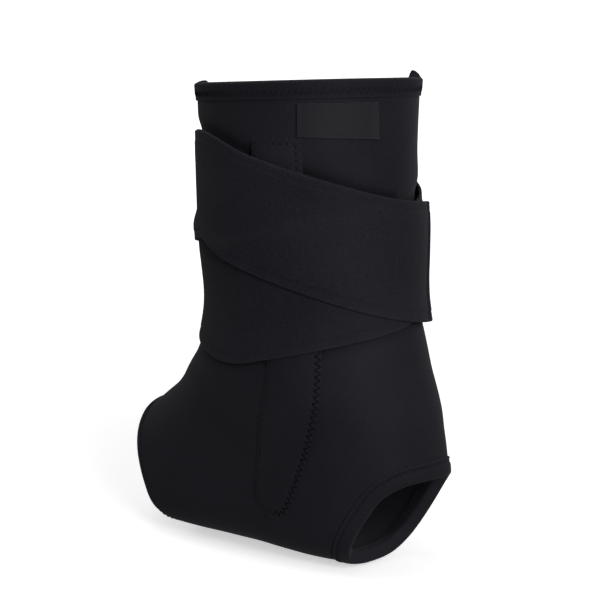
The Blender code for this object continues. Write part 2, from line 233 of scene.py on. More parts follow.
class Face:
    """A grid closed round its rows, with smooth directions at any point on it."""

    def __init__(self, grid, normals):
        self.count = grid.shape[1]
        self.points = [[Vector(p) for p in row] for row in grid]
        self.normals = [[Vector(n) for n in row] for row in normals]
        flat = [p for row in self.points for p in row]
        n, m = grid.shape[:2]
        faces = [
            (i * m + k, (i + 1) * m + k, (i + 1) * m + (k + 1) % m, i * m + (k + 1) % m)
            for i in range(n - 1)
            for k in range(m)
        ]
        self.tree = BVHTree.FromPolygons(flat, faces)

    def smooth(self, hit, index):
        i, k = divmod(index, self.count)
        j = (k + 1) % self.count
        p = self.points[i][k]
        e, f, d = self.points[i][j] - p, self.points[i + 1][k] - p, hit - p
        ee, ef, ff, de, df = e.dot(e), e.dot(f), f.dot(f), d.dot(e), d.dot(f)
        det = ee * ff - ef * ef
        if det <= 0:
            return self.normals[i][k]
        u = min(1.0, max(0.0, (de * ff - df * ef) / det))
        v = min(1.0, max(0.0, (df * ee - de * ef) / det))
        a = self.normals[i][k].lerp(self.normals[i][j], u)
        b = self.normals[i + 1][k].lerp(self.normals[i + 1][j], u)
        return a.lerp(b, v).normalized()

    def ray(self, start, direction):
        hit, _, index, _ = self.tree.ray_cast(start, direction)
        return (None, None) if hit is None else (hit, self.smooth(hit, index))

    def near(self, point):
        hit, _, index, _ = self.tree.find_nearest(point)
        return hit, self.smooth(hit, index)


BASE_GRID, BASE_NORMALS = skin_grid(14, 240)
OUTER = Face(BASE_GRID, BASE_NORMALS)
INNER = Face(BASE_GRID - BASE_NORMALS * WALL, -BASE_NORMALS)


def leg_point(angle, height):
    a = math.radians(angle)
    return OUTER.ray(
        Vector((0, LEG_AXIS_Y, height)), Vector((math.sin(a), -math.cos(a), 0))
    )


def field(points, size, seed):
    """Smooth noise from -1 to 1 at each point, its bumps about size metres wide."""
    shape = points.shape[:-1]
    flat = points.reshape(-1, 3) / size + np.array([seed * 7.3, seed * 3.1, seed * 5.7])
    out = np.fromiter((noise.noise(Vector(p)) for p in flat), float, len(flat))
    return out.reshape(shape)


# ---------------------------------------------------------------- making meshes
def quads(n, m, row_loop, col_loop, shift=0):
    """Corner numbers and grid places of every quad of an n by m grid."""
    i, k = np.meshgrid(
        np.arange(n if row_loop else n - 1),
        np.arange(m if col_loop else m - 1),
        indexing="ij",
    )
    i, k = i.ravel(), k.ravel()
    places = np.stack(
        [
            np.stack([i, k], -1),
            np.stack([i, k + 1], -1),
            np.stack([i + 1, k + 1], -1),
            np.stack([i + 1, k], -1),
        ],
        1,
    )
    numbers = (places[..., 0] % n) * m + places[..., 1] % m + shift
    return numbers, places


def loop_mesh(name, grid, along, across, worn, mat, row_loop=True, sharp=55):
    """Closed profiles (grid rows) joined one to the next, in a loop or with flat ends.

    along has one place in metres for each row and one more, and across one for each
    point of the profile and one more.
    """
    n, m = grid.shape[:2]
    faces, places = quads(n, m, row_loop, True)
    uv = np.stack([along[places[..., 0]], across[places[..., 1]]], -1)
    obj_faces = faces.tolist()
    uvs = [uv.reshape(-1, 2)]
    if not row_loop:
        # The ends are strips across the profile, from one side to the other.
        for row, flip in ((0, True), (n - 1, False)):
            for k in range(m // 2 - 1):
                face = [k, k + 1, m - 2 - k, m - 1 - k]
                if flip:
                    face.reverse()
                obj_faces.append([row * m + f for f in face])
                uvs.append(np.array([[along[row], across[f]] for f in face]))
    return finish_mesh(
        name, grid.reshape(-1, 3), obj_faces, np.vstack(uvs), worn, mat, sharp
    )


def finish_mesh(name, points, faces, uv, worn, mat, sharp, painted_shade=None):
    mesh = bpy.data.meshes.new(name)
    mesh.from_pydata(points.tolist(), [], faces)
    layer = mesh.uv_layers.new(name="Cloth")
    layer.uv.foreach_set("vector", np.asarray(uv, np.float32).reshape(-1))
    attr = mesh.attributes.new("worn", "FLOAT", "POINT")
    attr.data.foreach_set(
        "value", np.clip(np.asarray(worn, np.float32), 0, 1).reshape(-1)
    )
    # The second attribute is painted shade: how far the colour is darkened to stand in for shadow.
    attr = mesh.attributes.new("painted_shade", "FLOAT", "POINT")
    if painted_shade is not None:
        attr.data.foreach_set("value", np.clip(np.asarray(painted_shade, np.float32), 0, 1).reshape(-1))
    bm = bmesh.new()
    bm.from_mesh(mesh)
    bmesh.ops.recalc_face_normals(bm, faces=bm.faces)
    bm.to_mesh(mesh)
    bm.free()
    mesh.materials.append(mat)
    mesh.shade_smooth()
    mesh.set_sharp_from_angle(angle=math.radians(sharp))
    obj = bpy.data.objects.new(name, mesh)
    bpy.context.scene.collection.objects.link(obj)
    return obj


def sheet_mesh(name, top, bottom, along, across, worn, mat, sharp=55):
    """Two grids of the same size, joined round their edges."""
    n, m = top.shape[:2]
    first, places = quads(n, m, False, False)
    second = first[:, ::-1] + n * m
    uv = np.stack([along[places[..., 0]], across[places[..., 1]]], -1)
    faces = first.tolist() + second.tolist()
    uvs = [uv.reshape(-1, 2), uv[:, ::-1].reshape(-1, 2)]
    edge = [(0, k) for k in range(m)]
    edge += [(i, m - 1) for i in range(1, n)]
    edge += [(n - 1, k) for k in range(m - 2, -1, -1)]
    edge += [(i, 0) for i in range(n - 2, 0, -1)]
    for a, b in zip(edge, edge[1:] + edge[:1]):
        x, y = a[0] * m + a[1], b[0] * m + b[1]
        faces.append([y, x, x + n * m, y + n * m])
        uvs.append(
            np.array([[along[p[0]], across[p[1]]] for p in (b, a, a, b)])
        )
    points = np.vstack([top.reshape(-1, 3), bottom.reshape(-1, 3)])
    return finish_mesh(
        name, points, faces, np.vstack(uvs), np.concatenate([worn.ravel()] * 2), mat, sharp
    )


class Patch:
    """A grid of points with directions, read at any place (metres along and across)."""

    def __init__(self, points, normals, along, across, loop=False):
        if loop:
            points = np.concatenate([points, points[:1]])
            normals = np.concatenate([normals, normals[:1]])
        self.p, self.n, self.u, self.v = points, normals, along, across
        self.loop = loop

    def at(self, u, v, lift=0.0):
        if self.loop:
            u = u % self.u[-1]
        i = min(max(int(np.searchsorted(self.u, u)) - 1, 0), len(self.u) - 2)
        k = min(max(int(np.searchsorted(self.v, v)) - 1, 0), len(self.v) - 2)
        s = min(max((u - self.u[i]) / (self.u[i + 1] - self.u[i]), 0.0), 1.0)
        t = min(max((v - self.v[k]) / (self.v[k + 1] - self.v[k]), 0.0), 1.0)
        w = np.array([(1 - s) * (1 - t), (1 - s) * t, s * (1 - t), s * t])
        p = np.array([self.p[i, k], self.p[i, k + 1], self.p[i + 1, k], self.p[i + 1, k + 1]])
        n = np.array([self.n[i, k], self.n[i, k + 1], self.n[i + 1, k], self.n[i + 1, k + 1]])
        d = w @ n
        d = d / np.linalg.norm(d)
        return w @ p + d * lift, d


def threads(name, runs, mat, radius=0.22 * MM, rise=0.2 * MM, sink=0.12 * MM, sides=7):
    """Stitches as one mesh: each a bowed, tapered thread from point to point.

    runs is a list of (from, to, outward direction).
    """
    start = np.array([r[0] for r in runs])
    end = np.array([r[1] for r in runs])
    out = unit(np.array([r[2] for r in runs]))
    axis = unit(end - start)
    side = unit(np.cross(axis, out))
    out = np.cross(side, axis)
    share = np.array([0.0, 0.1, 0.3, 0.5, 0.7, 0.9, 1.0])
    height = -sink + (rise + sink) * np.sin(np.pi * share) ** 0.6
    thick = radius * (0.35 + 0.65 * np.sin(np.pi * (0.06 + 0.88 * share)) ** 0.5)
    angle = 2 * math.pi * np.arange(sides) / sides
    mids = start[:, None] + (end - start)[:, None] * share[None, :, None]
    mids = mids + out[:, None] * height[None, :, None]
    ring = (
        side[:, None, None] * np.cos(angle)[None, None, :, None]
        + out[:, None, None] * np.sin(angle)[None, None, :, None]
    ) * thick[None, :, None, None]
    points = (mids[:, :, None] + ring).reshape(-1, 3)
    rings = len(share)
    one = []
    for i in range(rings - 1):
        for k in range(sides):
            a, b = i * sides + k, i * sides + (k + 1) % sides
            one.append([a, b, b + sides, a + sides])
    faces, uvs, worn = [], [], []
    length = np.linalg.norm(end - start, axis=1)
    caps = [list(range(sides))[::-1], [(rings - 1) * sides + k for k in range(sides)]]
    for r in range(len(runs)):
        shift = r * rings * sides
        for f in one:
            faces.append([x + shift for x in f])
            for x in f:
                i, k = divmod(x, sides)
                uvs.append((share[i] * length[r] + r * 0.01, k * radius))
        for cap in caps:
            faces.append([x + shift for x in cap])
            uvs += [(r * 0.01, 0.0)] * sides
    return finish_mesh(
        name, points, faces, np.array(uvs), np.zeros(len(points)), mat, 80
    )


def dimples(points, holes, depth, radius):
    """How deep each point lies in the dimples that the needle holes pull in."""
    flat = points.reshape(-1, 3)
    out = np.zeros(len(flat))
    holes = np.asarray(holes)
    for i in range(0, len(flat), 4000):
        part = flat[i : i + 4000]
        d2 = ((part[:, None] - holes[None]) ** 2).sum(-1).min(1)
        out[i : i + 4000] = depth * np.exp(-d2 / radius**2)
    return out.reshape(points.shape[:-1])


# ---------------------------------------------------------------- materials
class Net:
    """A material's nodes, made and joined in short calls."""

    def __init__(self, name):
        self.mat = bpy.data.materials.new(name)
        self.mat.use_nodes = True
        self.nodes, self.links = self.mat.node_tree.nodes, self.mat.node_tree.links
        self.shader = self.nodes["Principled BSDF"]

    def put(self, node, key, value):
        socket = node.inputs[key]
        if isinstance(value, bpy.types.NodeSocket):
            self.links.new(value, socket)
        else:
            socket.default_value = value

    def make(self, kind, out=0, props=None, **values):
        node = self.nodes.new(kind)
        for k, v in (props or {}).items():
            setattr(node, k, v)
        for k, v in values.items():
            self.put(node, int(k[1:]) if k[0] == "i" and k[1:].isdigit() else k.replace("_", " "), v)
        return node.outputs[out]

    def math(self, op, a, b=0.0, c=0.0):
        node = self.nodes.new("ShaderNodeMath")
        node.operation = op
        for i, v in enumerate((a, b, c)):
            self.put(node, i, v)
        return node.outputs[0]

    def noise(self, vector, scale, detail=2.0, rough=0.5):
        node = self.nodes.new("ShaderNodeTexNoise")
        self.put(node, "Vector", vector)
        self.put(node, "Scale", scale)
        self.put(node, "Detail", detail)
        self.put(node, "Roughness", rough)
        return node.outputs[0]

    def scaled(self, vector, scale):
        node = self.nodes.new("ShaderNodeVectorMath")
        node.operation = "MULTIPLY"
        self.put(node, 0, vector)
        self.put(node, 1, scale)
        return node.outputs[0]

    def ramp(self, value, low, high, to_low=0.0, to_high=1.0):
        node = self.nodes.new("ShaderNodeMapRange")
        self.put(node, 0, value)
        for key, v in (("From Min", low), ("From Max", high), ("To Min", to_low), ("To Max", to_high)):
            self.put(node, key, v)
        return node.outputs[0]

    def mix(self, factor, a, b):
        node = self.nodes.new("ShaderNodeMix")
        node.data_type = "RGBA"
        self.put(node, 0, factor)
        self.put(node, 6, a)
        self.put(node, 7, b)
        return node.outputs[2]


def woven(net, u, v, kind, pitch):
    """The height, 0 to 1, of the cloth's threads at the place u, v in metres."""
    if kind == "jersey":  # columns of small loops
        col = net.math("MULTIPLY", u, 2 * math.pi / pitch)
        row = net.math("MULTIPLY", v, 2 * math.pi / (pitch * 0.8))
        lean = net.math("MULTIPLY", net.math("ABSOLUTE", net.math("SINE", net.math("MULTIPLY", col, 0.5))), 2.2)
        loops = net.math("SINE", net.math("ADD", row, lean))
        column = net.math("COSINE", col)
        mixed = net.math("MULTIPLY_ADD", loops, 0.28, 0.5)
        return net.math("MULTIPLY_ADD", column, -0.22, mixed)
    if kind == "plain":  # threads over and under
        a = net.math("SINE", net.math("MULTIPLY", u, math.pi / pitch))
        b = net.math("SINE", net.math("MULTIPLY", v, math.pi / pitch))
        return net.math("MULTIPLY_ADD", net.math("MULTIPLY", a, b), 0.5, 0.5)
    if kind == "ribbed":  # ribs across the tape, with fine threads on them
        a = net.math("SINE", net.math("MULTIPLY", u, 2 * math.pi / pitch))
        b = net.math("SINE", net.math("MULTIPLY", v, 2 * math.pi / (pitch * 0.55)))
        return net.math("MULTIPLY_ADD", a, 0.33, net.math("MULTIPLY_ADD", b, 0.16, 0.5))
    # satin: long floats, each line set off from the last
    a = net.math("SINE", net.math("MULTIPLY", v, 2 * math.pi / pitch))
    line = net.math("FLOOR", net.math("DIVIDE", v, pitch))
    shift = net.math("MULTIPLY", line, 1.9)
    b = net.math("SINE", net.math("ADD", net.math("MULTIPLY", u, 2 * math.pi / (pitch * 4)), shift))
    return net.math("MULTIPLY_ADD", a, 0.3, net.math("MULTIPLY_ADD", b, 0.14, 0.5))


def cloth(name, dark, light, rough, kind, pitch, relief, fuzz, sheen, specular, patch=0.35):
    """Cloth: a thread pattern on the mesh's own metre map, fibres, uneven dye and wear, and painted shade.

    dark and light are the colours between and on the threads, relief the height of the
    threads, fuzz the share of loose fibre in the relief, and patch how uneven the dye is.
    """
    net = Net(name)
    uv = net.nodes.new("ShaderNodeUVMap")
    uv.uv_map = "Cloth"
    place = net.nodes.new("ShaderNodeTexCoord").outputs["Object"]
    wobble = net.nodes.new("ShaderNodeTexNoise")
    net.put(wobble, "Vector", place)
    net.put(wobble, "Scale", 260.0)
    moved = net.nodes.new("ShaderNodeVectorMath")
    moved.operation = "MULTIPLY_ADD"
    net.put(moved, 0, wobble.outputs["Color"])
    net.put(moved, 1, (pitch * 0.35,) * 3)
    net.put(moved, 2, uv.outputs[0])
    split = net.nodes.new("ShaderNodeSeparateXYZ")
    net.put(split, 0, moved.outputs[0])
    height = woven(net, split.outputs[0], split.outputs[1], kind, pitch)

    fibre = net.noise(net.scaled(place, (1.0, 1.0, 0.45)), 3600.0, 4.0, 0.65)
    tuft = net.noise(place, 900.0, 3.0, 0.6)
    broad = net.noise(place, 26.0, 3.0, 0.5)
    worn = net.nodes.new("ShaderNodeAttribute")
    worn.attribute_name = "worn"

    weave_part = net.math("MULTIPLY", height, 1 - fuzz)
    fuzz_part = net.math(
        "MULTIPLY_ADD", tuft, fuzz * 0.55, net.math("MULTIPLY", fibre, fuzz * 0.45)
    )
    relief_value = net.math("ADD", weave_part, fuzz_part)

    tone = net.math("MULTIPLY_ADD", net.ramp(relief_value, 0.32, 0.68), 1 - patch, net.math("MULTIPLY", net.ramp(broad, 0.3, 0.7), patch))
    tone = net.math("MULTIPLY_ADD", worn.outputs["Fac"], 0.55, tone)
    colour = net.mix(tone, (*dark, 1.0), (*light, 1.0))
    # Painted shade: the colour darkens toward a third of the dark colour where the mesh's shade attribute is set,
    # standing in for shadow.
    painted_shade = net.nodes.new("ShaderNodeAttribute")
    painted_shade.attribute_name = "painted_shade"
    colour = net.mix(net.math("MULTIPLY", painted_shade.outputs["Fac"], 0.8), colour, (*(0.35 * v for v in dark), 1.0))
    net.put(net.shader, "Base Color", colour)
    gloss = net.math("MULTIPLY_ADD", tuft, 0.16, rough - 0.08)
    net.put(net.shader, "Roughness", net.math("MULTIPLY_ADD", worn.outputs["Fac"], -0.08, gloss))
    net.put(net.shader, "Specular IOR Level", specular)
    net.put(net.shader, "Sheen Weight", sheen)
    net.put(net.shader, "Sheen Roughness", 0.45)
    net.put(net.shader, "Sheen Tint", (0.93, 0.92, 1.0, 1.0))
    bump = net.nodes.new("ShaderNodeBump")
    net.put(bump, "Strength", 1.0)
    net.put(bump, "Distance", relief)
    net.put(bump, "Height", relief_value)
    net.put(net.shader, "Normal", bump.outputs[0])
    return net.mat


def build_materials():
    #  material            dark colour  light colour  roughness  threads  pitch  relief  fuzz  sheen  specular  patchy
    table = (
        ("neoprene", (0.0064, 0.0060, 0.0081), (0.0146, 0.0137, 0.0185), 0.70, "jersey", 0.85, 0.06, 0.87, 0.03, 0.06, 0.35),
        ("top_tape", (0.0052, 0.0049, 0.0067), (0.0145, 0.0136, 0.0182), 0.76, "ribbed", 0.95, 0.10, 0.35, 0.03, 0.05, 0.30),
        ("heel_tape", (0.0058, 0.0055, 0.0074), (0.0168, 0.0158, 0.0210), 0.76, "ribbed", 0.90, 0.10, 0.35, 0.03, 0.05, 0.30),
        ("strap_elastic", (0.0056, 0.0053, 0.0071), (0.0182, 0.0171, 0.0230), 0.80, "plain", 0.62, 0.16, 0.84, 0.04, 0.04, 0.25),
        ("pocket_cloth", (0.0064, 0.0060, 0.0081), (0.0150, 0.0141, 0.0190), 0.70, "jersey", 0.80, 0.06, 0.87, 0.03, 0.06, 0.35),
        ("woven_label", (0.0060, 0.0057, 0.0075), (0.0150, 0.0143, 0.0182), 0.62, "satin", 0.42, 0.06, 0.25, 0.04, 0.10, 0.20),
        ("thread", (0.0042, 0.0040, 0.0053), (0.0125, 0.0117, 0.0157), 0.72, "ribbed", 0.30, 0.05, 0.20, 0.02, 0.05, 0.20),
        # The pocket's back line: black thread, darkened further as painted shade for the shadow in its needle dimples.
        ("thread_with_painted_shade", (0.0010, 0.0009, 0.0013), (0.0042, 0.0040, 0.0054), 0.70, "ribbed", 0.30, 0.05, 0.20, 0.02, 0.05, 0.20),
        ("pale_thread", (0.0300, 0.0290, 0.0340), (0.0700, 0.0680, 0.0760), 0.65, "ribbed", 0.30, 0.05, 0.20, 0.02, 0.08, 0.20),
    )
    return {
        row[0]: cloth(row[0] + "_cloth", *row[1:5], row[5] * MM, row[6] * MM, *row[7:])
        for row in table
    }


# ---------------------------------------------------------------- the strap's way
ROUTE = smooth_rows(STRAP_ROUTE, 24)
ROUTE_SLOPE = np.gradient(ROUTE[:, 1], ROUTE[:, 0])


def route_height(angle):
    """The height of the strap's middle at an angle, and its slope there per degree."""
    return (
        np.interp(angle, ROUTE[:, 0], ROUTE[:, 1]) * MM,
        np.interp(angle, ROUTE[:, 0], ROUTE_SLOPE) * MM,
    )


def strap_width(turn):
    """The band is narrower where it is pulled tight, and relaxed and wider at its free end."""
    return STRAP_WIDTH * (1 - 0.025 * bell(turn, 418.0, 22.0) + 0.105 * eased(turn, 492.0, 572.0))


def strap_middle(turn):
    middle, slope = route_height(turn)
    return middle - 1.0 * MM * eased(turn, 492.0, 572.0), slope


def pocket_rise(angle, height):
    """How far the side pocket lifts what lies over it."""
    a = angle % 360
    across = eased(a, 60.0, 93.0) * (1 - eased(a, 130.0, 163.0))
    return 1.25 * MM * across * (1 - eased(height, 110 * MM, 119 * MM))


def strap_rise(turn, height, v):
    """The height of the strap's underside over the sleeve's own face."""
    rise = 0.3 * MM + pocket_rise(turn, height)
    if turn > STRAP_OVER_START:
        under, _ = route_height(max(turn - 360, STRAP_START))
        top = under + STRAP_WIDTH / 2 * 1.03
        over = 1 - eased(height, top + 1.5 * MM, top + 9.5 * MM)
        rise += (STRAP_THICKNESS + 0.3 * MM) * over * eased(turn, STRAP_OVER_START, STRAP_OVER_FULL)
        # The upper edge stands off a little where the strap turns down over the calf.
        rise += 1.3 * MM * eased(v, 13 * MM, 24.75 * MM) * eased(turn, 404, 430) * (1 - eased(turn, 500, 545))
        rise += 0.7 * MM * eased(-v, 16 * MM, 24.75 * MM) * eased(turn, 400, 425) * (1 - eased(turn, 440, 470))
    rise += 0.5 * MM * eased(turn, STRAP_END - 24, STRAP_END)
    return rise


def strap_edge_distance(angle, height):
    """The distance from a place on the sleeve to the nearest edge of the strap, negative under it."""
    best = np.full(np.shape(angle), 1.0)
    for turn in (-360.0, 0.0, 360.0):
        a = angle + turn
        there = (a > STRAP_START) & (a < STRAP_END)
        middle = np.interp(a, ROUTE[:, 0], ROUTE[:, 1]) * MM - 1.0 * MM * eased(a, 492.0, 572.0)
        d = np.abs(height - middle) * 0.98 - strap_width(a) / 2
        best = np.where(there, np.minimum(best, d), best)
    return best


def strap_sides(angle, height):
    """Whether a place on the sleeve lies above the nearest pass of the strap, and how far from its middle."""
    best = np.full(np.shape(angle), 1.0)
    over = np.zeros(np.shape(angle), bool)
    for turn in (-360.0, 0.0, 360.0):
        a = angle + turn
        there = (a > STRAP_START) & (a < STRAP_END)
        middle = np.interp(a, ROUTE[:, 0], ROUTE[:, 1]) * MM - 1.0 * MM * eased(a, 492.0, 572.0)
        off = height - middle
        nearer = there & (np.abs(off) < best)
        best = np.where(nearer, np.abs(off), best)
        over = np.where(nearer, off > 0, over)
    return over, best


# ---------------------------------------------------------------- the sleeve
def heel_loop(count, grow):
    """The loop where the outer face crosses the heel opening's outline, evenly spaced."""
    line = smooth_rows(HEEL_EDGE, 12) * MM
    t = unit(np.gradient(line, axis=0))
    line = line + np.stack([t[:, 1], -t[:, 0]], -1) * grow
    half = []
    for y, z in line:
        hit, _ = OUTER.ray(Vector((0.1, y, z)), Vector((-1, 0, 0)))
        if hit is not None and hit.x > 4 * MM:
            half.append(hit)
    top, _ = OUTER.ray(Vector((0, 0.12, half[0].z)), Vector((0, -1, 0)))
    low, _ = OUTER.ray(Vector((0, half[-1].y, -0.12)), Vector((0, 0, 1)))
    half = [top, *half, low]
    loop = np.array(half + [Vector((-p.x, p.y, p.z)) for p in reversed(half[1:-1])])
    closed = np.vstack([loop, loop[:1]])
    length = np.concatenate([[0], np.cumsum(np.linalg.norm(np.diff(closed, axis=0), axis=1))])
    want = length[-1] * (np.arange(count) + 0.5) / count
    pts = np.stack([np.interp(want, length, closed[:, j]) for j in range(3)], -1)
    for _ in range(max(2, int(round(count * count / 48**2 * 0.6)))):
        pts = (np.roll(pts, 1, 0) + 2 * pts + np.roll(pts, -1, 0)) / 4
    tangent = unit(np.roll(pts, -1, 0) - np.roll(pts, 1, 0))
    edge, away, out = [], [], []
    inside = np.array([0, 0.075, -0.085])
    for p, t in zip(pts, tangent):
        hit, n = OUTER.near(Vector(p))
        side = n.cross(Vector(t)).normalized()
        if side.dot(hit - Vector(inside)) < 0:
            side = -side
        edge.append(hit)
        away.append(side)
        out.append(n)
    return np.array(edge), np.array(away), np.array(out)


HEEL_COUNT = 340
HEEL_LOOP = heel_loop(HEEL_COUNT, EDGE_DROP)


def leg_loop(count):
    row = np.array([SLEEVE[0][1:]], float)
    pts = section_points(row, 2 * math.pi * np.arange(count) / count)[0]
    edge, away, out = [], [], []
    for p in pts:
        _, n = OUTER.near(Vector(p))
        side = Vector((0, 0, -1))
        side = (side - n * side.dot(n)).normalized()
        edge.append(Vector(p) + side * EDGE_DROP)
        away.append(side)
        out.append(n)
    return np.array(edge), np.array(away), np.array(out)


def build_sleeve(mats):
    grid, normals = skin_grid(SLEEVE_STEPS, SLEEVE_AROUND)
    n, m = grid.shape[:2]
    angle = np.degrees(np.arctan2(grid[..., 0], -(grid[..., 1] - LEG_AXIS_Y)))
    height = grid[..., 2]
    # Foam gives way under the strap and swells a little past its edges.
    d = strap_edge_distance(angle, height)
    above = eased(height, 2 * MM, 12 * MM)
    press = -1.7 * MM * (1 - eased(d, -1.0 * MM, 7.5 * MM)) + 0.15 * MM * bell(d, 11.0 * MM, 5.0 * MM)
    # Soft unevenness of worn foam, kept away from what lies on it.
    free = eased(d, 1.0 * MM, 6.0 * MM)
    on_pocket = (grid[..., 0] > 0) & (np.abs(grid[..., 1] - 0.013) < 0.019) & (height < 0.112) & (height > -0.068)
    free = np.where(on_pocket, 0.0, free)
    soft = field(grid, 26 * MM, 1) * 0.30 * MM + field(grid, 11 * MM, 2) * 0.10 * MM
    # Shallow folds where the ankle bends, across the instep and over the heel cord.
    front = eased(-grid[..., 1], 0.030, 0.062) * bell(height, 2 * MM, 30 * MM)
    folds = front * np.sin((height + 0.35 * grid[..., 1]) / (5.2 * MM)) * 0.22 * MM
    # One soft ridge from the instep down to the pocket, with a hollow under it.
    y, z = grid[..., 1], grid[..., 2]
    along = (y + 0.060) * 0.90 - (z + 0.001) * 0.44
    off = (y + 0.060) * 0.44 + (z + 0.001) * 0.90
    fade = eased(along, -0.010, 0.012) * (1 - eased(along, 0.040, 0.066)) * (grid[..., 0] > 0)
    folds = folds + fade * (0.30 * MM * bell(off, 0.0, 5.0 * MM) - 0.34 * MM * bell(off, -10 * MM, 8 * MM))
    out = press * above + (soft + folds) * free
    # The turned hem of the foot opening: a sewn line a little way in.
    run = np.linalg.norm(np.diff(grid, axis=0), axis=2)
    from_foot = np.vstack([np.cumsum(run[::-1], axis=0)[::-1], np.zeros((1, m))])
    hem = -0.45 * MM * bell(from_foot, 3.2 * MM, 0.75 * MM) + 0.12 * MM * bell(from_foot, 1.4 * MM, 0.9 * MM)
    out = out + hem
    outer = grid + normals * out[..., None]
    rounded = np.minimum(from_foot / (1.3 * MM), 1.0)
    outer = outer - normals * (1.1 * MM * (1 - np.sqrt(np.maximum(0, 1 - (1 - rounded) ** 2))))[..., None]
    inner_rows = np.unique(np.concatenate([np.arange(0, n, 2), [n - 2, n - 1]]))
    inner = (grid - normals * WALL)[inner_rows]
    inner_round = rounded[inner_rows]
    inner = inner + normals[inner_rows] * (1.1 * MM * (1 - np.sqrt(np.maximum(0, 1 - (1 - inner_round) ** 2))))[..., None]
    drop = np.array([0, 0, EDGE_DROP])
    first = slice(0, 1)
    outer[first] -= drop
    inner[first] -= drop
    # Nothing of the rows below may lie above the lowered raw edge.
    outer[1, :, 2] = np.minimum(outer[1, :, 2], outer[0, :, 2] - 0.2 * MM)
    inner[1, :, 2] = np.minimum(inner[1, :, 2], inner[0, :, 2] - 0.2 * MM)

    length = np.concatenate([[0], np.cumsum(run.mean(1))])
    around = np.linspace(0, 0.300, m + 1)
    fo, po = quads(n, m, False, True)
    ni = len(inner)
    fi, pi = quads(ni, m, False, True, n * m)
    fi = fi[:, ::-1]
    uv_o = np.stack([around[po[..., 1]], length[po[..., 0]]], -1)
    uv_i = np.stack([around[pi[..., 1]], length[inner_rows][pi[..., 0]]], -1)[:, ::-1]
    k = np.arange(m)
    top = np.stack([k, k + n * m, (k + 1) % m + n * m, (k + 1) % m], -1)
    o, i = (n - 1) * m, n * m + (ni - 1) * m
    low = np.stack([o + k, o + (k + 1) % m, i + (k + 1) % m, i + k], -1)

    def rim(at, z0, z1):
        a, b = around[k], around[k + 1]
        if at == "top":
            return np.stack([np.stack([a, z0 + 0 * a], -1), np.stack([a, z1 + 0 * a], -1), np.stack([b, z1 + 0 * a], -1), np.stack([b, z0 + 0 * a], -1)], 1)
        return np.stack([np.stack([a, z0 + 0 * a], -1), np.stack([b, z0 + 0 * a], -1), np.stack([b, z1 + 0 * a], -1), np.stack([a, z1 + 0 * a], -1)], 1)

    faces = np.vstack([fo, fi, top, low])
    uv = np.vstack([uv_o, uv_i, rim("top", 0.0, 0.004), rim("low", 0.5, 0.504)])
    points = np.vstack([outer.reshape(-1, 3), inner.reshape(-1, 3)])
    worn = np.concatenate(
        [
            (0.5 * bell(from_foot, 0.0, 2.0 * MM) + 0.18 * bell(d, 3.5 * MM, 3 * MM) * above).ravel(),
            0.5 * bell(from_foot[inner_rows], 0.0, 2.0 * MM).ravel(),
        ]
    )
    # Painted shade: the sleeve's colour is darkened along the strap, most of all above its raised top edge, standing in
    # for the shadow there.
    over, _ = strap_sides(angle, height)
    painted_shade = bell(d, 0.9 * MM, 2.3 * MM) * above * np.where(over, 0.85, 0.28)
    painted_shade = np.concatenate([painted_shade.ravel(), np.zeros(inner[..., 0].size)])
    body = finish_mesh("sleeve_shell", points, faces.tolist(), uv.reshape(-1, 2), worn, mats["neoprene"], 60, painted_shade)

    # The heel opening, cut square to the wall.
    edge, _, normal = heel_loop(200, EDGE_DROP)
    reach = 2.2 * WALL
    c = len(edge)
    pts = np.vstack([edge + normal * reach, edge - normal * reach, [[0, 0.140, -0.140], [0, 0.015, -0.040]]])
    cut_faces = []
    for a in range(c):
        b = (a + 1) % c
        cut_faces += [[a, b, b + c, a + c], [b, a, 2 * c], [a + c, b + c, 2 * c + 1]]
    cutter = finish_mesh("heel_cutter", pts, cut_faces, np.zeros((sum(len(f) for f in cut_faces), 2)), np.zeros(len(pts)), mats["neoprene"], 60)
    cut = body.modifiers.new("heel opening", "BOOLEAN")
    cut.operation, cut.solver, cut.object = "DIFFERENCE", "EXACT", cutter
    done = bpy.data.meshes.new_from_object(body.evaluated_get(bpy.context.evaluated_depsgraph_get()))
    body.modifiers.clear()
    old = body.data
    body.data = done
    bpy.data.meshes.remove(old)
    bpy.data.objects.remove(cutter)
    body.data.shade_smooth()
    body.data.set_sharp_from_angle(angle=math.radians(60))

    # The stitches of the foot opening's hem, on the outer face.
    rows_n = skin_normals(outer)
    line = []
    for j in range(m + 1):
        k0 = j % m
        col = from_foot[:, k0]
        i0 = int(np.searchsorted(-col, -3.2 * MM))
        i0 = min(max(i0, 1), n - 1)
        t = (col[i0 - 1] - 3.2 * MM) / max(col[i0 - 1] - col[i0], 1e-9)
        line.append((outer[i0 - 1, k0] * (1 - t) + outer[i0, k0] * t, rows_n[i0, k0]))
    pts = np.array([p for p, _ in line])
    nrm = np.array([q for _, q in line])
    at = np.concatenate([[0], np.cumsum(np.linalg.norm(np.diff(pts, axis=0), axis=1))])
    runs = []
    step = 2.6 * MM
    for j in range(int(at[-1] / step)):
        a, b = j * step + 0.2 * MM, j * step + step - 0.35 * MM
        pa = np.array([np.interp(a, at, pts[:, q]) for q in range(3)])
        pb = np.array([np.interp(b, at, pts[:, q]) for q in range(3)])
        nn = np.array([np.interp((a + b) / 2, at, nrm[:, q]) for q in range(3)])
        runs.append((pa + nn * 0.06 * MM, pb + nn * 0.06 * MM, nn))
    hem_threads = threads("foot_hem_stitching", runs, mats["thread"], 0.2 * MM, 0.14 * MM, 0.12 * MM)
    return body, hem_threads


def skin_normals(grid):
    across = np.roll(grid, -1, 1) - np.roll(grid, 1, 1)
    above = np.concatenate([grid[:1], grid[:-1]])
    below = np.concatenate([grid[1:], grid[-1:]])
    return unit(np.cross(across, above - below))


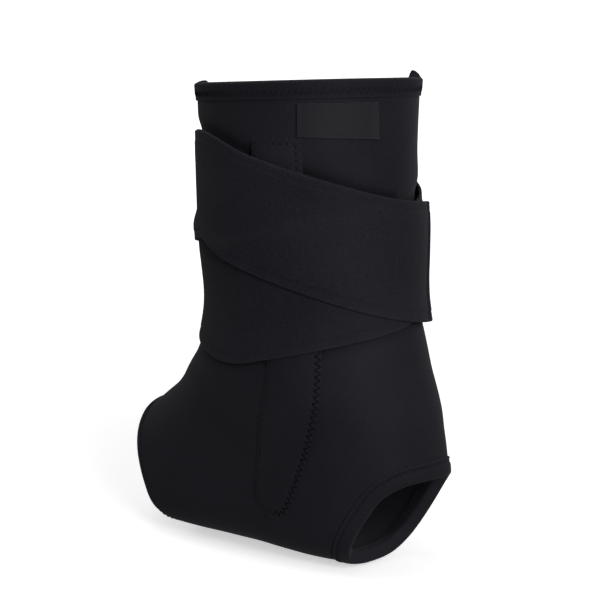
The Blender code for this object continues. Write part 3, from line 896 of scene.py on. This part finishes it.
# ---------------------------------------------------------------- folded tapes
def tape_legs(width):
    """Places along each leg of the tape, from the fold to its cut border."""
    legs = np.concatenate([[0.0, 0.12, 0.35, 0.7], np.linspace(1.1, width / MM - 1.1, 15), [width / MM - 0.7, width / MM - 0.35, width / MM - 0.1, width / MM]]) * MM
    return legs


def build_tape(name, loop, width, mat, thread_mat, stitch):
    edge, away, out = loop
    count = len(edge)
    legs = tape_legs(width)
    legs = legs[legs >= 0.3 * MM]
    gap, inner_gap = GAP, 0.3 * MM

    def shape(s):
        """Thickness of the tape along a leg: rounded at its cut border, pressed where sewn."""
        t = TAPE * (1 - 0.38 * eased(s, 0.25 * width, 0.85 * width))
        rest = width - s
        t = t * (0.35 + 0.65 * np.sqrt(np.clip(1 - (1 - np.clip(rest / (0.7 * MM), 0, 1)) ** 2, 0, 1)))
        return t

    outer_p = np.zeros((count, len(legs), 3))
    outer_n = np.zeros_like(outer_p)
    inner_p = np.zeros_like(outer_p)
    inner_n = np.zeros_like(outer_p)
    for i in range(count):
        p, side, o = Vector(edge[i]), Vector(away[i]), Vector(out[i])
        q = p - o * WALL
        for j, s in enumerate(legs):
            h, nn = OUTER.near(p + side * s)
            outer_p[i, j], outer_n[i, j] = h, nn
            h, nn = INNER.near(q + side * s)
            inner_p[i, j], inner_n[i, j] = h, nn
    length = np.concatenate([[0], np.cumsum(np.linalg.norm(np.roll(edge, -1, 0) - edge, axis=1))])

    far_h = gap + shape(legs)[None, :] + np.zeros((count, 1))
    if stitch["kind"] == "zigzag":
        mid, half = stitch["middle"], stitch["half"]
        far_h = far_h - 0.22 * MM * bell(legs, mid, half * 1.5)[None, :]
    else:
        mid, half = stitch["middle"], 0.0
        far_h = far_h - 0.42 * MM * bell(legs, mid, 0.75 * MM)[None, :]
    # Slight puckering between the stitches.
    u = length[:-1]
    far_h = far_h + 0.07 * MM * np.sin(2 * math.pi * u / stitch["pitch"])[:, None] * bell(legs, mid, 2.4 * MM)[None, :]
    surface = outer_p + outer_n * far_h[..., None]

    patch = Patch(surface, outer_n, length, legs, loop=True)
    runs, holes = [], []
    total = length[-1]
    cycles = int(round(total / stitch["pitch"]))
    pitch = total / cycles
    for j in range(cycles):
        a = j * pitch
        if stitch["kind"] == "zigzag":
            stops = [(a, mid - half), (a + pitch / 2, mid + half), (a + pitch, mid - half)]
        else:
            stops = [(a + 0.15 * pitch, mid), (a + 0.9 * pitch, mid)]
        spots = [patch.at(x, y) for x, y in stops]
        for (pa, na), (pb, nb) in zip(spots, spots[1:]):
            runs.append((pa, pb, na + nb))
            holes += [pa, pb]
    surface = surface - outer_n * dimples(surface, holes, stitch["dimple"], 0.42 * MM)[..., None]

    inner_h = inner_gap + shape(legs)[None, :] + np.zeros((count, 1)) - 0.2 * MM * bell(legs, mid, 1.2 * MM)[None, :]
    inner_far = inner_p + inner_n * inner_h[..., None]
    # The fold over the raw edge, a flat arch from face to face.
    turns = np.linspace(0, math.pi, 13)[1:-1]
    start = surface[:, 0]
    end = inner_far[:, 0]
    middle = (start + end) / 2
    half_span = (start - end) / 2
    # The tape's cut ends stand up a little where they were joined.
    around = np.degrees(np.arctan2(edge[:, 0], -(edge[:, 1] - LEG_AXIS_Y))) % 360
    peak = np.zeros(count)
    for angle, lift, wide in stitch["ears"]:
        peak = peak + lift * bell(around, angle, wide)
    rise = stitch["crest"] * (np.sin(turns) ** 0.72)[None, :] + peak[:, None] * (np.sin(turns - 0.25).clip(0) ** 5)[None, :]
    fold = (
        middle[:, None]
        + half_span[:, None] * (np.sign(np.cos(turns)) * np.abs(np.cos(turns)) ** 0.62)[None, :, None]
        - away[:, None] * rise[..., None]
    )
    near_outer = outer_p + outer_n * gap
    near_inner = inner_p + inner_n * inner_gap
    inset = 0.45 * MM
    top_out = edge + out * gap - away * inset
    top_in = edge - out * (WALL + inner_gap) - away * inset
    grid = np.concatenate(
        [
            surface[:, ::-1],
            fold,
            inner_far,
            near_inner[:, ::-1],
            top_in[:, None],
            top_out[:, None],
            near_outer,
        ],
        1,
    )
    step = np.linalg.norm(np.diff(np.concatenate([grid, grid[:, :1]], 1), axis=1), axis=2).mean(0)
    across = np.concatenate([[0], np.cumsum(step)])
    worn = np.zeros(grid.shape[:2])
    nl = len(legs)
    worn[:, nl : nl + len(turns)] = 0.35 * np.sin(turns)[None, :]
    worn[:, :nl] += 0.35 * bell(legs[::-1], width, 0.5 * MM)[None, :]
    obj = loop_mesh(name, grid, length, across, worn, mat)
    sewn = threads(
        stitch["name"], runs, thread_mat, stitch["radius"], stitch["rise"], 0.14 * MM
    )
    size = (float(total), float(2 * width + WALL + 2 * TAPE))
    return obj, sewn, size


# ---------------------------------------------------------------- the strap
def build_strap(mats):
    body = np.arange(STRAP_START, STRAP_END, 1.7)
    fine = np.arange(STRAP_END - 18.0, STRAP_END, 0.55)
    begin = np.array([0, 0.15, 0.4, 0.8]) + STRAP_START
    ends = STRAP_END - np.array([0.55, 0.3, 0.12, 0.0])
    angles = np.unique(np.concatenate([begin, body[(body > STRAP_START + 1.4) & (body < STRAP_END - 18.5)], fine[fine < STRAP_END - 0.8], ends]))
    border = np.array([0, 0.12, 0.35, 0.7, 1.2, 2.0, 2.9, 3.5, 3.85, 4.1, 4.4, 4.9, 5.8])
    half = np.concatenate([border, np.linspace(7.6, 24.75, 10)[:-1]])
    vs = np.concatenate([half, [24.75], 49.5 - half[::-1]]) * MM - STRAP_WIDTH / 2
    n, m = len(angles), len(vs)
    base = np.zeros((n, m, 3))
    normal = np.zeros_like(base)
    rise = np.zeros((n, m))
    for i, angle in enumerate(angles):
        middle, slope = strap_middle(angle)
        here, _ = leg_point(angle, middle)
        r = math.hypot(here.x, here.y - LEG_AXIS_Y)
        lean = math.atan2(slope, math.radians(1) * r)
        for k, v in enumerate(vs * strap_width(angle) / STRAP_WIDTH):
            h = middle + v * math.cos(lean)
            a = angle - math.degrees(v * math.sin(lean) / r)
            p, nn = leg_point(a, h)
            base[i, k], normal[i, k] = p, nn
            rise[i, k] = strap_rise(a, h, v)
    step = np.linalg.norm(np.diff(base[:, m // 2] + normal[:, m // 2] * 2 * MM, axis=0), axis=1)
    length = np.concatenate([[0], np.cumsum(step)])
    from_end = length[-1] - length
    inside = STRAP_WIDTH / 2 - np.abs(vs)  # distance in from the nearest long edge
    # Thickness across: a rounded woven border, a line between it and the brushed face.
    t = STRAP_THICKNESS * np.ones((n, m))
    t = t - 0.22 * MM * (1 - eased(inside, 3.4 * MM, 4.8 * MM))[None, :]
    t = t - 0.13 * MM * bell(inside, 4.0 * MM, 0.40 * MM)[None, :]
    t = t - 0.10 * MM * bell(inside, 1.6 * MM, 0.35 * MM)[None, :]
    # A faint line where the strap was folded for packing, and the ghost of the turn below.
    t = t + 0.12 * MM * bell(vs, 14.5 * MM, 0.9 * MM)[None, :]
    # The free end is turned under and sewn flat; the other end is sewn to the sleeve.
    t = t + 0.85 * MM * (1 - eased(from_end, HEM_LENGTH - 0.4 * MM, HEM_LENGTH + 0.9 * MM))[:, None]
    for place in (1.9 * MM, 9.0 * MM):
        t = t - 0.32 * MM * bell(from_end, place, 0.5 * MM)[:, None]
    for place in (2.0 * MM, 8.0 * MM):
        t = t - 0.3 * MM * bell(length, place, 0.5 * MM)[:, None]
    soft = field(base, 22 * MM, 5) * 0.16 * MM + field(base, 7 * MM, 6) * 0.05 * MM
    rise = rise + np.maximum(soft, -0.1 * MM)
    # Rounded long edges and ends: both faces come together to the middle.
    edge_in = np.clip(inside / (0.7 * MM), 0, 1)
    roundness = np.sqrt(np.clip(1 - (1 - edge_in) ** 2, 0, 1))
    end_in = np.clip(np.minimum(from_end, length) / (0.6 * MM), 0, 1)
    end_round = np.sqrt(np.clip(1 - (1 - end_in) ** 2, 0, 1))
    share = np.minimum(roundness[None, :], end_round[:, None])
    share = 0.30 + 0.70 * share
    mid = rise + t / 2
    top = base + normal * (mid + t / 2 * share)[..., None]
    bottom = base + normal * (mid - t / 2 * share)[..., None]

    patch = Patch(top, normal, length, vs)
    runs = []
    for u in (length[-1] - 1.9 * MM, length[-1] - 9.0 * MM, 2.0 * MM, 8.0 * MM):
        v = -STRAP_WIDTH / 2 + 2.2 * MM
        while v < STRAP_WIDTH / 2 - 3.4 * MM:
            pa, na = patch.at(u, v)
            pb, nb = patch.at(u, v + 2.1 * MM)
            runs.append((pa, pb, na + nb))
            v += 2.55 * MM
    across = vs + STRAP_WIDTH / 2
    across_loop = np.concatenate([across, across[::-1] + 0.06, [0.12]])
    grid = np.concatenate([top, bottom[:, ::-1]], 1)
    worn = np.zeros((n, 2 * m))
    line = 0.32 * bell(inside, 0.4 * MM, 0.7 * MM)
    worn[:, :m] = line[None, :] + 0.2 * bell(from_end, 0.3 * MM, 0.8 * MM)[:, None]
    worn[:, m:] = line[::-1][None, :]
    obj = loop_mesh("wrap_strap_band", grid, length, across_loop, worn, mats["strap_elastic"], row_loop=False)
    sewn = threads("strap_stitching", runs, mats["thread"], 0.22 * MM, 0.12 * MM, 0.14 * MM)
    return obj, sewn, float(length[-1])


# ---------------------------------------------------------------- the side pocket
def build_pocket(mats):
    rows = smooth_rows(POCKET, [44, 50, 46, 20, 18, 20, 20, 20, 18, 18, 16])
    cols = np.concatenate([[0, 0.012, 0.03, 0.06], np.linspace(0.09, 0.91, 37), [0.94, 0.97, 0.988, 1.0]])
    n, m = len(rows), len(cols)
    base = np.zeros((n, m, 3))
    normal = np.zeros_like(base)
    for i, (height, middle, half) in enumerate(rows):
        for k, c in enumerate(cols):
            y = (middle + half * (2 * c - 1)) * MM
            p, nn = OUTER.ray(Vector((0.1, y, height * MM)), Vector((-1, 0, 0)))
            base[i, k], normal[i, k] = p, nn
    length = np.concatenate([[0], np.cumsum(np.linalg.norm(np.diff(base[:, m // 2], axis=0), axis=1))])
    # Distance in from the outline, its narrowing end included.
    out_line = np.concatenate([base[:, 0], base[-1, 1:-1], base[::-1, -1], base[0, 1:-1][::-1]])
    inside = np.zeros((n, m))
    flat = base.reshape(-1, 3)
    for i in range(0, len(flat), 3000):
        part = flat[i : i + 3000]
        d2 = ((part[:, None] - out_line[None]) ** 2).sum(-1).min(1)
        inside.reshape(-1)[i : i + 3000] = np.sqrt(d2)
    t = 0.52 * MM * np.ones((n, m))
    # Sewn down over its edge; the flat stay swells the middle a little.
    t = t - 0.26 * MM * (1 - eased(inside, 0.2 * MM, 2.8 * MM))
    t = t + 0.26 * MM * eased(inside, 3.0 * MM, 9.5 * MM)
    t = t - 0.14 * MM * (1 - eased(inside, 0.4 * MM, 3.2 * MM)) * (1 - eased(cols, 0.3, 0.6))[None, :]
    t = t * (0.30 + 0.70 * np.sqrt(np.clip(1 - (1 - np.clip(inside / (0.7 * MM), 0, 1)) ** 2, 0, 1)))
    under = strap_over_pocket(base)
    t = t - 0.20 * MM * eased(inside, 3.6 * MM, 8.5 * MM) * under
    top = base + normal * (GAP + t)[..., None]
    bottom = base + normal * GAP

    # The zigzag runs round the outline, a set way in.
    path = outline_path(rows, POCKET_INSET / MM)
    spots = []
    for y, z in path:
        p, nn = OUTER.ray(Vector((0.1, y, z)), Vector((-1, 0, 0)))
        spots.append((np.array(p), np.array(nn)))
    pts = np.array([s[0] for s in spots])
    nrm = np.array([s[1] for s in spots])
    at = np.concatenate([[0], np.cumsum(np.linalg.norm(np.diff(pts, axis=0), axis=1))])
    tangent = unit(np.gradient(pts, axis=0))
    side = unit(np.cross(nrm, tangent))
    pitch = 3.05 * MM
    cycles = int(at[-1] / pitch)
    pitch = at[-1] / cycles
    tree = BVHTree.FromPolygons(
        [Vector(p) for p in top.reshape(-1, 3)], quads(n, m, False, False)[0].tolist()
    )
    zig = []
    for j in range(2 * cycles + 1):
        u = j * pitch / 2
        p = np.array([np.interp(u, at, pts[:, q]) for q in range(3)])
        s = unit(np.array([np.interp(u, at, side[:, q]) for q in range(3)]))
        nn = unit(np.array([np.interp(u, at, nrm[:, q]) for q in range(3)]))
        p = p + s * (1.35 * MM if j % 2 else -1.35 * MM)
        hit, _, _, _ = tree.ray_cast(Vector(p + nn * 8 * MM), Vector(-nn))
        if hit is None:
            hit = Vector(p + nn * (GAP + 0.8 * MM))
        zig.append((np.array(hit), nn))
    holes = np.array([z[0] for z in zig])
    runs = [(a[0], b[0], a[1] + b[1]) for a, b in zip(zig, zig[1:])]
    # The line at the back is pulled tighter than the one at the front.
    tight = 0.28 + 0.27 * eased(base[..., 2], -26 * MM, -12 * MM)
    tight = tight + (1 - tight) * eased(base[..., 1] - rows[:, 1][:, None] * MM, -2 * MM, 5 * MM)
    top = top - normal * (tight * dimples(top, holes, 0.60 * MM, 0.60 * MM))[..., None]
    top = np.where(
        (((top - bottom) * normal).sum(-1) < 0.14 * MM)[..., None], bottom + normal * 0.14 * MM, top
    )
    worn = 0.12 * bell(inside, 0.0, 0.8 * MM)
    obj = sheet_mesh("stay_pocket_patch", top, bottom, length, cols * 0.026, worn, mats["pocket_cloth"])
    # The line along the front edge and the top has sunk in further than the one along the back.
    front = [r for r in runs if r[0][1] < np.interp(r[0][2], rows[::-1, 0] * MM, rows[::-1, 1] * MM) - 1 * MM or r[0][2] > 0.09]
    back = [r for r in runs if not any(r is f for f in front)]
    sewn = [
        # The back line's thread is darkened further: painted shade for the shadow in its dimples.
        threads("pocket_stitching", back, mats["thread_with_painted_shade"], 0.26 * MM, 0.06 * MM, 0.16 * MM),
        threads("pocket_stitching_front", front, mats["thread"], 0.2 * MM, 0.0, 0.18 * MM),
    ]
    return obj, sewn


def strap_over_pocket(points):
    angle = np.degrees(np.arctan2(points[..., 0], -(points[..., 1] - LEG_AXIS_Y)))
    d = strap_edge_distance(angle, points[..., 2])
    return (1 - eased(d, -1.0 * MM, 5.0 * MM)) * eased(points[..., 2], 0.0, 6 * MM)


def outline_path(rows, inset):
    """A line round the pocket's two sides and its ends, inset (mm) from its outline."""
    left = np.stack([rows[:, 1] - rows[:, 2], rows[:, 0]], -1)
    right = np.stack([rows[:, 1] + rows[:, 2], rows[:, 0]], -1)

    def moved(line, sign):
        t = unit(np.gradient(line, axis=0))
        return line + np.stack([t[:, 1], -t[:, 0]], -1) * sign * inset

    a = moved(left, -1)
    b = moved(right, 1)
    top = rows[0, 0] - inset
    low = rows[-1, 0] + inset
    a = a[(a[:, 1] < top) & (a[:, 1] > low + 1.2) & (a[:, 0] < b[:, 0] - 1.0)]
    b = b[(b[:, 1] < top) & (b[:, 1] > low + 1.2)]
    count = 8
    across = np.stack(
        [np.linspace(b[0, 0], a[0, 0], count + 2)[1:-1], np.full(count, top)], -1
    )
    loop = np.vstack([[[b[0, 0], top]], across, [[a[0, 0], top]], a, b[::-1]])
    return loop * MM


# ---------------------------------------------------------------- the label
def build_label(mats):
    rows = np.concatenate([[0, 0.012, 0.03], np.linspace(0.06, 0.94, 26), [0.97, 0.988, 1.0]])
    cols = np.concatenate([[0, 0.006, 0.014], np.linspace(0.03, 0.97, 56), [0.986, 0.994, 1.0]])
    n, m = len(rows), len(cols)
    rim, _ = leg_point(LABEL_ANGLE, 0.12)
    radius = math.hypot(rim.x, rim.y - LEG_AXIS_Y)
    base = np.zeros((n, m, 3))
    normal = np.zeros_like(base)
    first = np.array([SLEEVE[0][1:]], float)
    for k, c in enumerate(cols):
        a = LABEL_ANGLE + math.degrees(LABEL_WIDTH * (c - 0.5) / radius)
        p = section_points(first, np.array([math.radians(a)]))[0, 0]
        edge = p[2] - TOP_TAPE_WIDTH - LABEL_BELOW
        drop = LABEL_DROPS[0] + (LABEL_DROPS[1] - LABEL_DROPS[0]) * c
        for i, r in enumerate(rows):
            q, nn = leg_point(a, edge - drop * r)
            base[i, k], normal[i, k] = q, nn
    r, c = rows[:, None], cols[None, :]
    lift = 0.3 * MM + 0.35 * MM * r**2 + 0.8 * MM * eased(c, 0.9, 1.0) * (0.3 + 0.7 * r) + 0.15 * MM * np.sin(c * 9) * r
    t = LABEL_THICKNESS * (0.85 + 0.15 * (1 - bell(c, 0.975, 0.008)))
    t = t + 0.0 * r
    # Folded borders left and right, and a woven line along each border.
    t = t + 0.12 * MM * (eased(c, 0.958, 0.966) + 1 - eased(c, 0.034, 0.042))
    t = t - 0.10 * MM * (bell(r, 0.93, 0.012) + bell(r, 0.07, 0.012))
    top = base + normal * (lift + t)[..., None]
    bottom = base + normal * (lift)[..., None]
    drop = float(np.mean(LABEL_DROPS))
    worn = 0.9 * (c > 0.99) + 0.5 * (r > 0.985)
    obj = sheet_mesh("bare_label", top, bottom, rows * drop, cols * LABEL_WIDTH, worn + 0 * r, mats["woven_label"])
    return obj


# ---------------------------------------------------------------- stage
def stage_surface(name, points, faces, colour, glow):
    net = Net(name + "_matte")
    place = net.nodes.new("ShaderNodeTexCoord").outputs["Object"]
    soft = net.noise(place, 3.0, 3.0)
    net.put(net.shader, "Base Color", net.mix(soft, (*(c * 0.985 for c in colour), 1.0), (*colour, 1.0)))
    net.put(net.shader, "Roughness", 0.9)
    net.put(net.shader, "Specular IOR Level", 0.0)
    net.put(net.shader, "Emission Color", (*colour, 1.0))
    if isinstance(glow, tuple):  # near the part, far from it
        away = net.nodes.new("ShaderNodeVectorMath")
        away.operation = "LENGTH"
        net.put(away, 0, place)
        net.put(net.shader, "Emission Strength", net.ramp(away.outputs["Value"], 0.25, 1.3, *glow))
    else:
        net.put(net.shader, "Emission Strength", glow)
    mesh = bpy.data.meshes.new(name)
    mesh.from_pydata(points, [], faces)
    mesh.materials.append(net.mat)
    obj = bpy.data.objects.new(name, mesh)
    bpy.context.scene.collection.objects.link(obj)
    # The pale surroundings show, and the soft lights alone light the black cloth.
    obj.visible_diffuse = obj.visible_glossy = False
    return obj


def build_stage():
    size, z = 26.0, CAD_BOX[0].z - 0.4 * MM
    stage_surface(
        "floor",
        [(-size, -size, z), (size, -size, z), (size, size, z), (-size, size, z)],
        [(0, 1, 2, 3)], (0.93, 0.93, 0.932), (0.55, 1.08),
    )
    ring = [(24 * math.cos(math.pi * k / 24), 24 * math.sin(math.pi * k / 24)) for k in range(48)]
    points = [(x, y, z - 2) for x, y in ring] + [(x, y, z + 22) for x, y in ring]
    stage_surface(
        "backdrop", points,
        [(k, (k + 1) % 48, (k + 1) % 48 + 48, k + 48) for k in range(48)], (0.97, 0.97, 0.972), 1.04,
    )

    world = bpy.data.worlds.new("studio")
    bpy.context.scene.world = world
    world.use_nodes = True
    back = world.node_tree.nodes["Background"]
    back.inputs[0].default_value = (0.98, 0.98, 1.0, 1.0)
    back.inputs[1].default_value = 0.28

    a, e = math.radians(VIEW_AZIMUTH), math.radians(VIEW_ELEVATION)
    backward = Vector((math.sin(a) * math.cos(e), -math.cos(a) * math.cos(e), math.sin(e)))
    right = Vector((math.cos(a), math.sin(a), 0))
    up = Vector((0, 0, 1))
    aim = VIEW_TARGET + right * 0.02 + up * 0.04
    #  light     right  back  up   size  power
    for name, r, b, u, size, power in (
        ("key", 0.47, 1.21, 0.16, 0.6, 15.5),
        ("top", -0.2, 0.2, 1.4, 0.8, 4.0),
        ("rim_left", -1.0, -1.1, 0.9, 0.7, 2.0),
        ("rim_right", 1.0, -1.1, 0.5, 0.8, 2.0),
    ):
        data = bpy.data.lights.new(name, "AREA")
        data.shape, data.size, data.energy = "SQUARE", size, power
        light = bpy.data.objects.new(name, data)
        light.location = VIEW_TARGET + right * r + backward * b + up * u
        light.rotation_mode = "QUATERNION"
        light.rotation_quaternion = (aim - light.location).to_track_quat("-Z", "Y")
        bpy.context.scene.collection.objects.link(light)

    camera = bpy.data.objects.new("camera", bpy.data.cameras.new("camera"))
    camera.data.sensor_width, camera.data.lens = 36.0, VIEW_LENS
    camera.data.clip_start, camera.data.clip_end = 0.05, 100.0
    camera.location = VIEW_TARGET + backward * VIEW_DISTANCE
    camera.rotation_mode = "QUATERNION"
    camera.rotation_quaternion = (-backward).to_track_quat("-Z", "Y")
    bpy.context.scene.collection.objects.link(camera)
    bpy.context.scene.camera = camera
    view = bpy.context.scene.view_settings
    view.view_transform, view.look, view.exposure, view.gamma = "Standard", "None", 0.0, 1.0


# ---------------------------------------------------------------- the brace
build_stage()
mats = build_materials()

sleeve, hem_threads = build_sleeve(mats)
strap, strap_threads, strap_length = build_strap(mats)
top_tape, top_threads, top_size = build_tape(
    "top_binding_tape", leg_loop(560), TOP_TAPE_WIDTH, mats["top_tape"], mats["thread"],
    {"name": "top_binding_stitching", "kind": "zigzag", "middle": 3.9 * MM, "half": 1.8 * MM,
     "pitch": 2.9 * MM, "dimple": 0.05 * MM, "crest": 1.35 * MM,
     "ears": ((215.5, 3.4 * MM, 1.5), (43.0, 1.0 * MM, 1.4)), "radius": 0.16 * MM, "rise": 0.02 * MM},
)
heel_tape, heel_threads, heel_size = build_tape(
    "heel_binding_tape", HEEL_LOOP, HEEL_TAPE_WIDTH, mats["heel_tape"], mats["thread"],
    {"name": "heel_binding_stitching", "kind": "straight", "middle": 4.9 * MM, "half": 0.0,
     "pitch": 2.5 * MM, "dimple": 0.25 * MM, "crest": 1.75 * MM, "ears": (), "radius": 0.2 * MM, "rise": 0.05 * MM},
)
pocket, pocket_threads = build_pocket(mats)
label = build_label(mats)

for piece, node, slot in (
    (sleeve, "sleeve", "neoprene"),
    (strap, "wrap_strap", "strap_elastic"),
    (top_tape, "top_binding", "top_tape"),
    (heel_tape, "heel_binding", "heel_tape"),
    (pocket, "stay_pocket", "pocket_cloth"),
    (label, "label", "woven_label"),
):
    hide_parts(node)
    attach(piece, "root")
for piece, slot in (
    (hem_threads, "neoprene"),
    (strap_threads, "strap_elastic"),
    (top_threads, "top_tape"),
    (heel_threads, "heel_tape"),
    (pocket_threads[0], "pocket_cloth"),
    (pocket_threads[1], "pocket_cloth"),
):
    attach(piece, "root")
